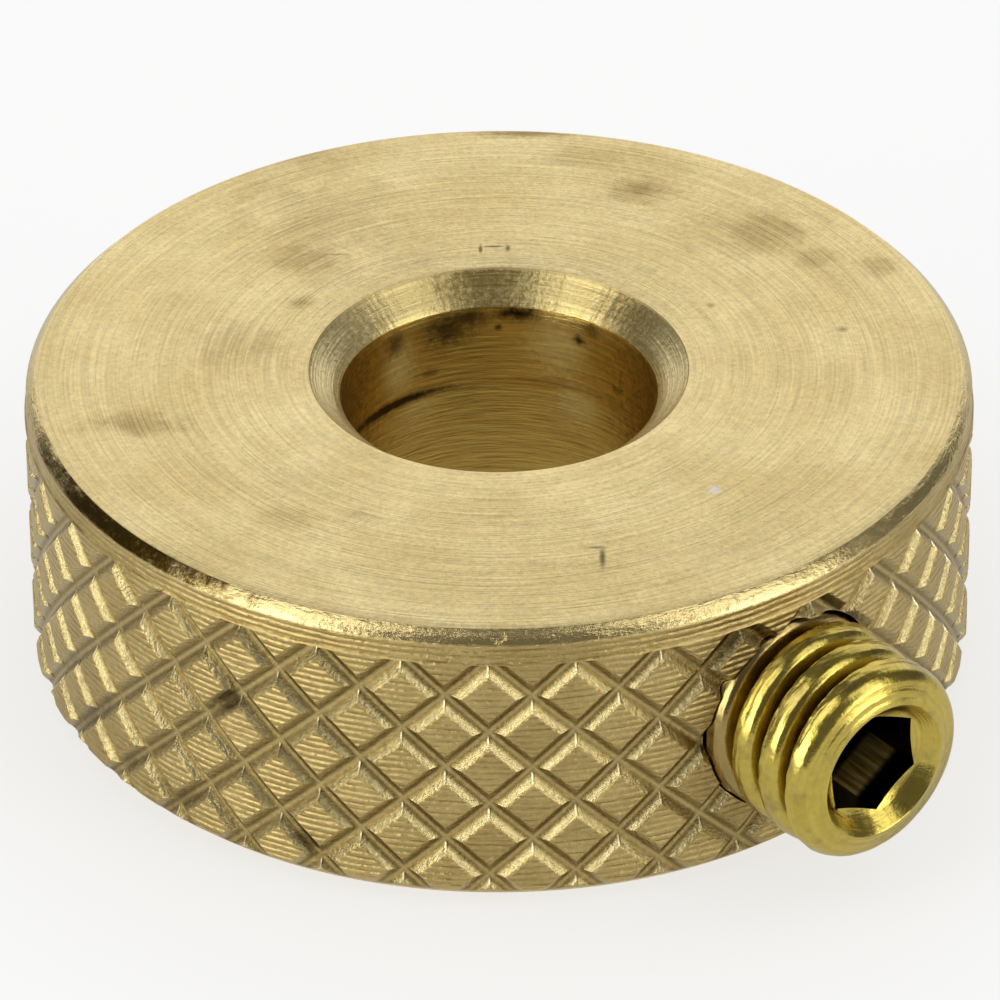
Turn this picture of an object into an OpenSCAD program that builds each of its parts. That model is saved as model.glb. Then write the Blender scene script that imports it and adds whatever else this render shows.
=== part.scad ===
// Knurled set screw collar: a turned brass ring with a diamond knurled rim, a countersunk
// through bore and one radial set screw with a hexagon socket.
// Millimetres, +Z up. The origin is on the bore axis, in the bottom face.
// The set screw lies along -Y, halfway up the collar.

/* [Collar] */
// Diameter over the knurl's lands and the plain band
collar_d = 19.05; // [17:0.05:24]
// Height between the two flat faces
collar_h = 6.35; // [5.8:0.05:9]
// Diameter of the through bore, for a 6.35 mm rod
bore_d = 6.375; // [4.5:0.025:7]
// Diameter of the countersink in the top face
countersink_d = 7.65; // [7.2:0.05:9]
// Depth of the countersink
countersink_depth = 0.56; // [0.2:0.02:1]
// Chamfer round the top face
top_chamfer = 0.2; // [0.1:0.05:0.4]
// Chamfer round the bottom face, which the knurl runs out through
bottom_chamfer = 0.4; // [0.25:0.05:0.6]

/* [Knurl] */
// Number of grooves in each of the two crossing families
groove_count = 35; // [26:1:44]
// Angle of the grooves to the bore axis
knurl_angle = 45.5; // [40:0.5:50]
// Width of one groove at the lands, square to the groove
groove_width = 0.46; // [0.2:0.02:0.6]
// Depth of the grooves where two of them cross
groove_depth = 0.17; // [0.08:0.01:0.3]
// Height of the plain band between the knurl and the top face
plain_band_h = 0.66; // [0.45:0.01:1.2]
// Turn of the knurl round the bore axis
knurl_turn = 35.49; // [0:0.01:360]

/* [Set screw] */
// Major diameter of the screw's thread, number 8
screw_d = 4.166; // [3.5:0.002:4.4]
// Thread pitch, 32 to the inch
screw_pitch = 0.79375; // [0.5:0.00625:1]
// Length of the screw from cup point to socket face
screw_length = 6.35; // [5.5:0.05:7]
// Distance that the screw stands out of the collar
screw_standout = 2.575; // [1.6:0.005:3]
// Turn of the thread round the screw's axis
thread_turn = 186.4; // [0:0.1:360]
// Hexagon socket, across the flats
socket_af = 1.984; // [1.5:0.004:2.2]
// Depth of the hexagon below the socket face
socket_depth = 2.4; // [1.5:0.1:3]
// Turn of the hexagon round the screw's axis
socket_turn = 35.6; // [0:0.1:60]
// Outer diameter of the screw's socket face
face_d = 3.46; // [3.2:0.02:3.5]
// Diameter of the countersunk mouth of the socket
mouth_d = 2.88; // [2.6:0.02:3]
// How far the mouth's rim stands above the edge of the face
face_dome = 0.14; // [0.05:0.01:0.25]
// Diameter of the cup point's rim
cup_d = 2.2; // [1.8:0.05:2.6]
// Depth of the cup
cup_depth = 0.45; // [0.2:0.05:0.6]
// Gap between the thread's crests and the hole, on the radius
screw_clearance = 0.05; // [0.02:0.01:0.1]

/* [Hidden] */
$fn = 96;

// Collar
land_r = collar_d / 2;
floor_r = land_r - groove_depth;
bore_r = bore_d / 2;
knurl_top = collar_h - plain_band_h;
hole_r = screw_d / 2 + screw_clearance;
screw_z = collar_h / 2;
spare = 1;

// The knurl is a net of groove crossings. Two columns of crossings lie one half_step apart,
// and two rows lie one row_step apart, so a land has a crossing at each of its four corners.
columns = 2 * groove_count;
half_step = 180 / groove_count;
groove_pitch = PI * collar_d / groove_count;
row_step = groove_pitch / 2 / tan(knurl_angle);
last_row = ceil(knurl_top / row_step + 0.1);
land_share = 1 - groove_width / (groove_pitch * cos(knurl_angle));

// Set screw, in its own frame: cup point at z = 0, socket face at z = screw_length
crest_r = screw_d / 2;
thread_depth = 0.6134 * screw_pitch;
root_r = crest_r - thread_depth;
thread_steps = 24;
thread_turns = ceil(screw_length / screw_pitch) + 2;
// Axial place and radius of the four corners of one thread, as shares of the pitch
thread_profile = [[0, root_r], [0.354, crest_r], [0.479, crest_r], [0.833, root_r]];
profile_count = 4 * thread_turns + 1;
socket_corner_r = socket_af / 2 / cos(30);

function on_collar(radius, column, z) =
    let (a = knurl_turn + column * half_step)
    [radius * cos(a), radius * sin(a), z];

function row_z(row) = knurl_top - row * row_step;

// Column of the k-th crossing in a row, and of the k-th land
function crossing_column(row, k) = 2 * k + row % 2;
function land_column(row, k) = 2 * k + (row + 1) % 2;

// Left, upper, right and lower corner of a land. A land on the first or last row is cut in half.
function land_corners(row, k) =
    let (
        c = land_column(row, k),
        z = row_z(row),
        up = row == 0 ? 0 : land_share * row_step,
        down = row == last_row ? 0 : land_share * row_step
    )
    [
        on_collar(land_r, c - land_share, z),
        on_collar(land_r, c, z + up),
        on_collar(land_r, c + land_share, z),
        on_collar(land_r, c, z - down)
    ];

// The blank with its knurled rim, taller than the collar at both ends
module knurled_blank() {
    top_z = collar_h + spare;
    crossings = [
        for (row = [0 : last_row], k = [0 : groove_count - 1])
            on_collar(floor_r, crossing_column(row, k), row_z(row))
    ];
    lands = [
        for (row = [0 : last_row], k = [0 : groove_count - 1])
            each land_corners(row, k)
    ];
    // Edge of the plain band above each crossing of the first row
    band_edge = [
        for (k = [0 : groove_count - 1])
            on_collar(land_r, crossing_column(0, k), knurl_top)
    ];
    upper_rim = [
        for (k = [0 : groove_count - 1])
            each [
                on_collar(land_r, 2 * k, top_z),
                on_collar(land_r, 2 * k + 1 - land_share, top_z),
                on_collar(land_r, 2 * k + 1, top_z),
                on_collar(land_r, 2 * k + 1 + land_share, top_z)
            ]
    ];
    centres = [[0, 0, top_z], [0, 0, row_z(last_row)]];

    land_start = len(crossings);
    band_start = land_start + len(lands);
    rim_start = band_start + len(band_edge);
    upper_centre = rim_start + len(upper_rim);
    lower_centre = upper_centre + 1;

    function crossing(row, column) =
        row * groove_count + floor(((column + columns) % columns) / 2);
    function land(row, k, corner) =
        land_start + 4 * (row * groove_count + k % groove_count) + corner;
    function band(k) = band_start + k % groove_count;
    function rim(i) = rim_start + i % (4 * groove_count);
    function quad(a, b, c, d) = [[a, b, c], [a, c, d]];

    land_faces = [
        for (row = [0 : last_row], k = [0 : groove_count - 1])
            each [
                [land(row, k, 0), land(row, k, 1), land(row, k, 3)],
                [land(row, k, 1), land(row, k, 2), land(row, k, 3)]
            ]
    ];
    upper_flanks = [
        for (row = [1 : last_row], k = [0 : groove_count - 1])
            let (c = land_column(row, k))
            each concat(
                quad(crossing(row, c - 1), crossing(row - 1, c), land(row, k, 1), land(row, k, 0)),
                quad(crossing(row - 1, c), crossing(row, c + 1), land(row, k, 2), land(row, k, 1))
            )
    ];
    lower_flanks = [
        for (row = [0 : last_row - 1], k = [0 : groove_count - 1])
            let (c = land_column(row, k))
            each concat(
                quad(crossing(row, c + 1), crossing(row + 1, c), land(row, k, 3), land(row, k, 2)),
                quad(crossing(row + 1, c), crossing(row, c - 1), land(row, k, 0), land(row, k, 3))
            )
    ];
    // Each crossing of the first row ends square against the plain band
    groove_ends = [
        for (k = [0 : groove_count - 1])
            let (left = k + groove_count - 1)
            each [
                [land(0, k, 0), crossing(0, 2 * k), band(k)],
                [crossing(0, 2 * k), land(0, left, 2), band(k)]
            ]
    ];
    band_faces = [
        for (k = [0 : groove_count - 1])
            each concat(
                quad(band(k), rim(4 * k), rim(4 * k + 1), land(0, k, 0)),
                quad(land(0, k, 0), rim(4 * k + 1), rim(4 * k + 2), land(0, k, 1)),
                quad(land(0, k, 1), rim(4 * k + 2), rim(4 * k + 3), land(0, k, 2)),
                quad(land(0, k, 2), rim(4 * k + 3), rim(4 * k + 4), band(k + 1))
            )
    ];
    upper_cap = [
        for (i = [0 : 4 * groove_count - 1])
            [rim(i + 1), rim(i), upper_centre]
    ];
    lower_cap = [
        for (k = [0 : groove_count - 1])
            let (c = land_column(last_row, k))
            each [
                [crossing(last_row, c - 1), land(last_row, k, 0), lower_centre],
                [land(last_row, k, 0), land(last_row, k, 3), lower_centre],
                [land(last_row, k, 3), land(last_row, k, 2), lower_centre],
                [land(last_row, k, 2), crossing(last_row, c + 1), lower_centre]
            ]
    ];
    polyhedron(
        points = concat(crossings, lands, band_edge, upper_rim, centres),
        faces = concat(
            land_faces, upper_flanks, lower_flanks, groove_ends, band_faces, upper_cap, lower_cap
        ),
        convexity = 10
    );
}

// Everything that the lathe cuts: faces, chamfers, bore and countersink
module turned_profile() {
    rotate_extrude()
        polygon([
            [bore_r, 0],
            [land_r - bottom_chamfer, 0],
            [land_r + spare, bottom_chamfer + spare],
            [land_r + spare, collar_h - top_chamfer - spare],
            [land_r - top_chamfer, collar_h],
            [countersink_d / 2, collar_h],
            [bore_r, collar_h - countersink_depth]
        ]);
}

// Turns a shape made along +Z round to the screw's axis: +Z becomes -Y
module on_screw_axis() {
    translate([0, 0, screw_z])
        rotate([90, 0, 0])
            children();
}

module collar() {
    color("#c9b878")
    difference() {
        intersection() {
            knurled_blank();
            turned_profile();
        }
        on_screw_axis()
            cylinder(r = hole_r, h = land_r + spare);
    }
}

// A right-hand thread, longer than the screw at both ends
module threaded_rod() {
    start_z = -screw_pitch;
    points = [
        for (step = [0 : thread_steps - 1], i = [0 : profile_count - 1])
            let (
                a = thread_turn + 360 * step / thread_steps,
                corner = thread_profile[i % 4],
                turn = floor(i / 4) + step / thread_steps
            )
            [corner[1] * cos(a), corner[1] * sin(a), start_z + (turn + corner[0]) * screw_pitch]
    ];
    lower_centre = len(points);
    upper_centre = lower_centre + 1;
    ends = [[0, 0, start_z], [0, 0, start_z + (thread_turns + 1) * screw_pitch]];

    // One turn on, a corner is the same corner of the next thread
    function at(step, i) =
        step < thread_steps ? step * profile_count + i : i + 4;

    walls = [
        for (step = [0 : thread_steps - 1])
            let (last = profile_count - 2 - (step == thread_steps - 1 ? 4 : 0))
            for (i = [0 : last])
                each [
                    [at(step, i), at(step, i + 1), at(step + 1, i + 1)],
                    [at(step, i), at(step + 1, i + 1), at(step + 1, i)]
                ]
    ];
    lower_loop = concat(
        [for (step = [0 : thread_steps - 1]) at(step, 0)],
        [for (i = [4 : -1 : 1]) at(0, i)]
    );
    upper_loop = concat(
        [for (step = [0 : thread_steps - 1]) at(step, profile_count - 1)],
        [for (i = [profile_count - 2 : -1 : profile_count - 4]) at(thread_steps - 1, i)],
        [at(thread_steps - 1, profile_count - 5)]
    );
    lower_end = [
        for (i = [0 : len(lower_loop) - 1])
            [lower_loop[i], lower_loop[(i + 1) % len(lower_loop)], lower_centre]
    ];
    upper_end = [
        for (i = [0 : len(upper_loop) - 1])
            [upper_loop[(i + 1) % len(upper_loop)], upper_loop[i], upper_centre]
    ];
    polyhedron(
        points = concat(points, ends),
        faces = concat(walls, lower_end, upper_end),
        convexity = 10
    );
}

// Outline of the screw's two ends, wider than the thread in between
module screw_outline() {
    cup_rim_r = cup_d / 2;
    face_r = face_d / 2;
    face_z = screw_length - face_dome;
    wide_r = crest_r + spare;
    rotate_extrude()
        polygon([
            [0, cup_depth],
            [cup_rim_r, 0],
            [wide_r, wide_r - cup_rim_r],
            [wide_r, face_z - (wide_r - face_r)],
            [face_r, face_z],
            [mouth_d / 2, screw_length],
            [0, screw_length]
        ]);
}

module set_screw() {
    mouth_depth = mouth_d / 2 - socket_af / 2;
    color("#c8b04c")
    on_screw_axis()
        translate([0, 0, land_r + screw_standout - screw_length])
            difference() {
                intersection() {
                    threaded_rod();
                    screw_outline();
                }
                rotate([0, 0, socket_turn])
                    translate([0, 0, screw_length - socket_depth])
                        cylinder(r = socket_corner_r, h = socket_depth + spare, $fn = 6);
                translate([0, 0, screw_length - mouth_depth])
                    cylinder(r1 = socket_af / 2, r2 = mouth_d / 2, h = mouth_depth);
            }
}

collar();
set_screw();
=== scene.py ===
"""Looks of a knurled brass set screw collar: the turned and knurled ring and its socket set screw.

Lengths are written in millimetres and turned to metres by the MM factor.
"""

import math

import bpy
from mathutils import Matrix, Vector


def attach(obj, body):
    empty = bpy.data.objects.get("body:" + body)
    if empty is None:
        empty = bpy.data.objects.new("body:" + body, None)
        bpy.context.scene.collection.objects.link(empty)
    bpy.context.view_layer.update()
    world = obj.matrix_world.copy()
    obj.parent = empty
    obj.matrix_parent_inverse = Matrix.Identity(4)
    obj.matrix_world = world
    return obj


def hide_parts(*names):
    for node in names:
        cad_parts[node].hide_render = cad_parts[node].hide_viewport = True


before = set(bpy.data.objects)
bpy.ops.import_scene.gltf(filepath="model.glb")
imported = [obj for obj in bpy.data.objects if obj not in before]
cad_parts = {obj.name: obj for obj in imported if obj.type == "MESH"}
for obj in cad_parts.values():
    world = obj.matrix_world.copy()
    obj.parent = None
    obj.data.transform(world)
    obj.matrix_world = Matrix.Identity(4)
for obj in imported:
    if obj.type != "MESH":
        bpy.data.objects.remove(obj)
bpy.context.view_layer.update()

MM = 0.001

# Collar, as in the CAD part, apart from its top chamfer, which is 0.20 mm there
COLLAR_R = 9.5246
COLLAR_H = 6.35
BORE_R = 3.1875
COUNTERSINK_R = 3.825
COUNTERSINK_DEPTH = 0.56
TOP_CHAMFER = 0.24
BOTTOM_CHAMFER = 0.4
CHAMFER_START = COLLAR_H - TOP_CHAMFER
# Knurl, as in the CAD part
GROOVES = 35
KNURL_ANGLE = math.radians(45.5)
KNURL_TURN = math.radians(35.49)
GROOVE_WIDTH = 0.46
GROOVE_DEPTH = 0.17
KNURL_TOP = 5.69
# The knurling wheel's edge: every groove stops here
KNURL_END = 5.64
# Set screw, as in the CAD part
SCREW_R = 2.083
PITCH = 0.79375
SCREW_LENGTH = 6.35
SCREW_REACH = 12.1
SCREW_Z = COLLAR_H / 2
THREAD_TURN = 186.4
SOCKET_AF = 1.984
SOCKET_DEPTH = 2.4
SOCKET_TURN = math.radians(35.6)
CUP_R = 1.1
CUP_DEPTH = 0.45
FACE_R = 1.73
MOUTH_R = 1.436
HOLE_R = SCREW_R + 0.05
THREAD_DEPTH = 0.6134 * PITCH
# The crest at which the thread ends, in turns from the cup point, and how it runs out after it
LAST_THREAD = 7.354
RUN_OUT = (0.06, 0.4)
NO_END = 99.0
# A groove that would end at the mesh's seam fades out ahead of it: where along the thread, and where in its turn
FADING = (-0.94, -0.6)
AHEAD_OF_SEAM = (0.88, 1.0)
# Levels above the cup point: the screw's face and its rounded edge, and the fall of the socket's countersink
FACE_LEVEL = SCREW_LENGTH - 0.02
FACE_EDGE = SCREW_LENGTH - 0.14
MOUTH_SLOPE = 1.133
CORNER_R = SOCKET_AF / 2 / math.cos(math.pi / 6)
# The tapped hole: play on the screw's crests, and the level where its plain mouth begins
TAP_PLAY = 0.02
TAP_END = 3.05

GROOVE_PITCH = 2 * math.pi * COLLAR_R / GROOVES
ROW_STEP = GROOVE_PITCH / 2 / math.tan(KNURL_ANGLE)
# A groove's half width as a share of the way from its floor to the middle of a land
GROOVE_SHARE = GROOVE_WIDTH / (GROOVE_PITCH * math.cos(KNURL_ANGLE))
# Mesh columns and rows between one crossing and the next, and columns round the screw and the tap
STEPS = 12
SCREW_COLUMNS = 168
TAP_COLUMNS = 72
# Vertices closer than this are joined into one
SEAM = 0.0005
# The camera looks along +Y turned this far towards +X
VIEW_TURN = math.radians(37.63)


def colour(hex_code):
    """A linear RGBA colour from an sRGB hex code such as #C8B878."""
    parts = [int(hex_code[i:i + 2], 16) / 255 for i in (1, 3, 5)]
    linear = [c / 12.92 if c <= 0.04045 else ((c + 0.055) / 1.055) ** 2.4 for c in parts]
    return (*linear, 1.0)


def add(tree, kind, inputs=(), operation=None, out=0, **settings):
    """Adds a node with its settings, links or sets its inputs, and returns one of its outputs.

    The kind is the node's type, without ShaderNode where it starts with that.
    """
    made = tree.nodes.new(kind if "Node" in kind else "ShaderNode" + kind)
    if operation:
        made.operation = operation
    for name, value in settings.items():
        setattr(made, name, value)
    pairs = inputs.items() if isinstance(inputs, dict) else enumerate(inputs)
    for key, value in pairs:
        if isinstance(value, bpy.types.NodeSocket):
            tree.links.new(value, made.inputs[key])
        elif value is not None:
            made.inputs[key].default_value = value
    return made.outputs[out] if made.outputs else None


# ---------------------------------------------------------------- materials

def new_material(name):
    """A material and its empty tree."""
    made = bpy.data.materials.new(name)
    made.use_nodes = True
    tree = made.node_tree
    tree.nodes.clear()
    return made, tree


def finish_metal(tree, inputs, height, distance):
    """Ends a metal's tree with its shader, over a bump that is some millimetres deep where its height is 1."""
    normal = add(tree, "Bump", {"Strength": 1.0, "Distance": distance * MM, "Height": height}, out="Normal")
    shader = add(tree, "BsdfPrincipled", {"Metallic": 1.0, "Normal": normal, **inputs})
    add(tree, "OutputMaterial", {"Surface": shader})


def place_in_mm(tree):
    """Position in millimetres."""
    place = add(tree, "TexCoord", out="Object")
    return add(tree, "VectorMath", {0: place, "Scale": 1 / MM}, "SCALE")


def turned_coordinates(tree):
    """Position in millimetres, as the camera is turned too, distance and direction from the bore axis, and height.

    As the camera is turned, X points to the right of the main view and Y straight ahead of it.
    """
    place = place_in_mm(tree)
    seen = add(tree, "VectorRotate", {"Vector": place, "Angle": VIEW_TURN}, rotation_type="Z_AXIS")
    flat = add(tree, "VectorMath", (place, (1, 1, 0)), "MULTIPLY")
    radius = add(tree, "VectorMath", (flat,), "LENGTH", "Value")
    around = add(tree, "VectorMath", (flat,), "NORMALIZE")
    height = add(tree, "SeparateXYZ", (place,), out="Z")
    return place, seen, radius, around, height


def tool_lines(tree, around, slow, along, fast, detail, roughness):
    """Noise drawn out round an axis, as a lathe tool leaves it: slow around, and fast along or outwards."""
    around = add(tree, "VectorMath", {0: around, "Scale": slow}, "SCALE")
    along = add(tree, "Math", (along, fast), "MULTIPLY")
    return add(tree, "TexNoise", {"Vector": around, "W": along, "Scale": 1.0, "Detail": detail,
                                  "Roughness": roughness}, noise_dimensions="4D")


def marks(tree, place, rough_edge, spots):
    """How strongly the nearest of some soft spots shows. Each is (x, y, z), radii (x, y, z) and strength."""
    worst = 0.0
    for middle, radii, strength in spots:
        away = add(tree, "VectorMath", (place, middle), "SUBTRACT")
        away = add(tree, "VectorMath", (away, radii), "DIVIDE")
        away = add(tree, "VectorMath", (away,), "LENGTH", "Value")
        away = add(tree, "Math", (away, rough_edge), "ADD")
        shown = add(tree, "MapRange", (away, 0.1, 1.3, strength, 0.0), interpolation_type="SMOOTHSTEP")
        worst = add(tree, "Math", (shown, worst), "MAXIMUM")
    return worst


def on_top(*spots):
    """Spots for marks() on the flat top face, where height plays no part: (x, y, radius x, radius y, strength)."""
    any_height = 9.0
    return [((x, y, COLLAR_H), (across, ahead, any_height), strength) for x, y, across, ahead, strength in spots]


def layered(tree, tone, *layers):
    """A tone with shares of others laid over it in turn. Each tone is a hex code or a socket."""
    tone = colour(tone) if isinstance(tone, str) else tone
    for share, over in layers:
        over = colour(over) if isinstance(over, str) else over
        tone = add(tree, "Mix", {"Factor": share, "A": tone, "B": over}, out=2, data_type="RGBA")
    return tone


# Free-machining brass, faced on a lathe: fine rings round the axis, with handling stains
def faced_brass():
    made, tree = new_material("faced_brass")
    place, seen, radius, around, _ = turned_coordinates(tree)
    rings = tool_lines(tree, around, 2.5, radius, 21.0, 3.0, 0.6)
    grain = add(tree, "TexNoise", {"Vector": place, "Scale": 10.0, "Detail": 4.0, "Roughness": 0.65})
    cloud = add(tree, "TexNoise", {"Vector": place, "Scale": 0.5, "Detail": 4.0, "Roughness": 0.6})
    torn = add(tree, "TexNoise", {"Vector": place, "Scale": 1.1, "Detail": 6.0, "Roughness": 0.68})
    torn = add(tree, "MapRange", (torn, 0.25, 0.75, -0.7, 0.7))
    stain = marks(tree, seen, torn, on_top(
        (-3.7, 5.7, 1.7, 2.3, 0.5), (-3.9, 4.2, 0.8, 1.0, 0.7), (3.0, 6.7, 0.9, 0.6, 1.0),
        (5.3, 5.1, 1.3, 1.0, 0.75), (-4.0, 2.5, 0.35, 0.3, 0.8), (-5.3, 0.9, 1.2, 1.0, 0.45),
        (-7.2, -2.0, 1.3, 0.42, 0.8), (-4.2, -5.4, 0.8, 0.4, 0.5), (-2.8, -5.3, 0.6, 0.35, 0.4),
        (0.5, 9.15, 1.2, 0.22, 1.2), (-4.2, 8.4, 1.4, 0.5, 0.5), (6.5, 4.1, 0.5, 0.5, 0.6),
        (7.8, 3.8, 0.4, 0.4, 0.6), (1.8, 8.2, 1.1, 0.4, 0.4)))
    fine = add(tree, "Math", (torn, 0.25), "MULTIPLY")
    scratch = marks(tree, seen, fine, on_top(
        (-0.36, 4.52, 0.05, 0.24, 0.9), (-0.1, 4.62, 0.28, 0.05, 0.8), (0.2, 4.55, 0.06, 0.14, 0.8),
        (1.98, -6.85, 0.07, 0.42, 0.9), (1.86, -6.5, 0.24, 0.06, 0.7), (-3.3, 4.35, 0.3, 0.05, 0.5),
        (6.95, 1.35, 0.13, 0.13, 0.6), (4.3, 2.3, 0.11, 0.11, 0.5)))
    speck = marks(tree, seen, fine, on_top((4.2, -4.5, 0.13, 0.17, 1.0)))
    clouds = add(tree, "MapRange", (cloud, 0.35, 0.65, 0.0, 1.0))
    streaky = add(tree, "MapRange", (rings, 0.3, 0.7, 1.1, 0.4))
    stain = add(tree, "Math", (stain, streaky), "MULTIPLY", use_clamp=True)
    tone = layered(tree, "#F9E4A9", (clouds, "#EAD394"), (stain, "#AF9458"))
    lines = add(tree, "MapRange", (rings, 0.25, 0.75, 0.76, 1.16))
    sand = add(tree, "MapRange", (grain, 0.25, 0.75, 0.76, 1.2))
    lines = add(tree, "Math", (lines, sand), "MULTIPLY")
    tone = add(tree, "VectorMath", {0: tone, "Scale": lines}, "SCALE")
    tone = layered(tree, tone, (scratch, "#6B5A3A"), (speck, "#E9E2DA"))
    rough = add(tree, "MapRange", (grain, 0.3, 0.7, 0.38, 0.5))
    relief = add(tree, "Math", (rings, grain), "ADD")
    finish_metal(tree, {"Base Color": tone, "Roughness": rough}, relief, 0.014)
    return made


# Free-machining brass, turned and then knurled. Lands keep the lathe's feed lines, which spread a lamp up and
# down the rim, with painted shade along them. Grooves are burnished, with sandy flanks and torn land edges. Their
# deep parts are painted darker as painted shade, and their floors carry a painted highlight line. The ridge under
# each crossing has a painted highlight on one side and a painted shadow on the other.
def knurled_brass():
    made, tree = new_material("knurled_brass")
    place, seen, _, around, height = turned_coordinates(tree)
    groove = add(tree, "Attribute", out="Fac", attribute_name="groove")
    sand = add(tree, "TexNoise", {"Vector": place, "Scale": 9.0, "Detail": 4.0, "Roughness": 0.7})
    sand = add(tree, "MapRange", (sand, 0.3, 0.7, -1.0, 1.0))
    edge = add(tree, "Math", (sand, -0.1), "MULTIPLY")
    edge = add(tree, "Math", (groove, edge), "ADD")
    land = add(tree, "MapRange", (edge, 0.03, 0.1, 1.0, 0.0))

    # Feed lines, broken up along the rim, with painted shade along them for their lower slopes
    feed_pitch = 0.142
    wander = add(tree, "TexNoise", {"Vector": place, "Scale": 1.1, "Detail": 2.0})
    wander = add(tree, "MapRange", (wander, 0.0, 1.0, -0.04, 0.04))
    feed = add(tree, "Math", (height, wander), "ADD")
    feed = add(tree, "Math", (feed, 2 * math.pi / feed_pitch), "MULTIPLY")
    feed = add(tree, "Math", (feed,), "SINE")
    wave = add(tree, "Math", (feed, land), "MULTIPLY")
    feed = add(tree, "MapRange", (feed, 0.45, 1.0, 0.0, 1.0), interpolation_type="SMOOTHSTEP")
    streaks = tool_lines(tree, around, 14.0, height, 8.0, 3.0, 0.65)
    broken = add(tree, "MapRange", (streaks, 0.42, 0.6, 0.0, 0.85))
    feed_line_shade = add(tree, "Math", (feed, broken), "MULTIPLY")
    feed_line_shade = add(tree, "Math", (feed_line_shade, land), "MULTIPLY")
    waves = add(tree, "MapRange", (streaks, 0.25, 0.75, -1.0, 1.0))
    waves = add(tree, "Math", (waves, land), "MULTIPLY")

    # The ridge where two grooves' lower flanks meet, straight under their crossing: a painted highlight on one side
    # and a painted shadow on the other
    x = add(tree, "SeparateXYZ", (place,), out="X")
    y = add(tree, "SeparateXYZ", (place,), out="Y")
    across = add(tree, "Math", (y, x), "ARCTAN2")
    across = add(tree, "Math", (across, -KNURL_TURN), "ADD")
    across = add(tree, "Math", (across, GROOVES / math.pi), "MULTIPLY")
    beside = add(tree, "Math", (across,), "ROUND")
    beside = add(tree, "Math", (across, beside), "SUBTRACT")
    beside = add(tree, "Math", (beside, COLLAR_R * math.pi / GROOVES), "MULTIPLY")
    down = add(tree, "Math", (KNURL_TOP, height), "SUBTRACT")
    down = add(tree, "Math", (down, 1 / ROW_STEP), "MULTIPLY")
    below = add(tree, "Math", (down,), "ROUND")
    below = add(tree, "Math", (down, below), "SUBTRACT")
    under = add(tree, "MapRange", (below, 0.1, 0.16, 0.0, 1.0))
    under = add(tree, "Math", (under, groove), "MULTIPLY")
    ridge_light_and_shade = []
    for shift, full, none in ((0.012, 0.008, 0.024), (-0.022, 0.004, 0.018)):
        side = add(tree, "Math", (beside, shift), "ADD")
        side = add(tree, "Math", (side,), "ABSOLUTE")
        side = add(tree, "MapRange", (side, full, none, 1.0, 0.0))
        ridge_light_and_shade.append(add(tree, "Math", (side, under), "MULTIPLY", use_clamp=True))
    ridge_highlight, shade = ridge_light_and_shade

    # Some grooves are darkened in spots: low on the left of the rim, and beside the screw's hole as painted shade.
    # A brown stain from handling lies on the chamfer, partly a painted dark reflection
    torn = add(tree, "TexNoise", {"Vector": place, "Scale": 2.2, "Detail": 4.0, "Roughness": 0.7})
    torn = add(tree, "MapRange", (torn, 0.25, 0.75, -1.0, 1.0))
    groove_spots_and_hole_shade = marks(tree, seen, torn, [
        ((-5.35, -7.88, 3.75), (0.5, 0.5, 0.55), 0.9), ((-3.75, -8.75, 1.0), (0.4, 0.6, 0.5), 0.8),
        ((-8.3, -4.7, 1.2), (1.4, 1.6, 0.9), 0.5), ((-6.6, -6.9, 0.8), (1.8, 1.8, 0.5), 0.5),
        ((4.5, -8.4, 5.35), (0.8, 0.6, 0.5), 0.8), ((4.2, -8.55, 2.9), (0.5, 0.6, 0.7), 0.8)])
    in_groove = add(tree, "MapRange", (groove, 0.0, 0.6, 0.15, 1.0))
    groove_spots_and_hole_shade = add(tree, "Math", (groove_spots_and_hole_shade, in_groove), "MULTIPLY")
    chamfer = add(tree, "MapRange", (height, CHAMFER_START - 0.03, CHAMFER_START + 0.02, 0.0, 1.0))
    torn = add(tree, "Math", (torn, 0.5), "MULTIPLY")
    # The chamfer's stain is partly a real stain and partly a painted dark reflection
    stain = marks(tree, seen, torn, [((-7.5, -5.5, COLLAR_H), (3.2, 3.6, 0.9), 1.4)])
    stain = add(tree, "Math", (stain, chamfer), "MULTIPLY", use_clamp=True)

    patch = add(tree, "TexNoise", {"Vector": place, "Scale": 0.8, "Detail": 3.0})
    below_chamfer = add(tree, "Math", (1.0, chamfer), "SUBTRACT")
    feed_line_shade = add(tree, "Math", (feed_line_shade, below_chamfer), "MULTIPLY")
    flank = add(tree, "MapRange", (groove, 0.05, 0.3, 0.0, 1.0))
    # Painted shade: the deep part of each groove is painted darker. Painted highlight: a lighter line along each
    # groove's floor
    deep = add(tree, "MapRange", (groove, 0.55, 0.85, 0.0, 1.0))
    groove_floor_highlight = add(tree, "MapRange", (groove, 0.93, 1.0, 0.0, 0.6))
    tone = layered(tree, "#D7C082", (patch, "#C4AB6A"), (feed_line_shade, "#8C7038"), (flank, "#C6B682"),
                   (deep, "#97804A"), (groove_floor_highlight, "#D9C68C"))
    sandy = add(tree, "MapRange", (sand, -1.0, 1.0, 0.82, 1.14))
    tone = add(tree, "VectorMath", {0: tone, "Scale": sandy}, "SCALE")
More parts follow.
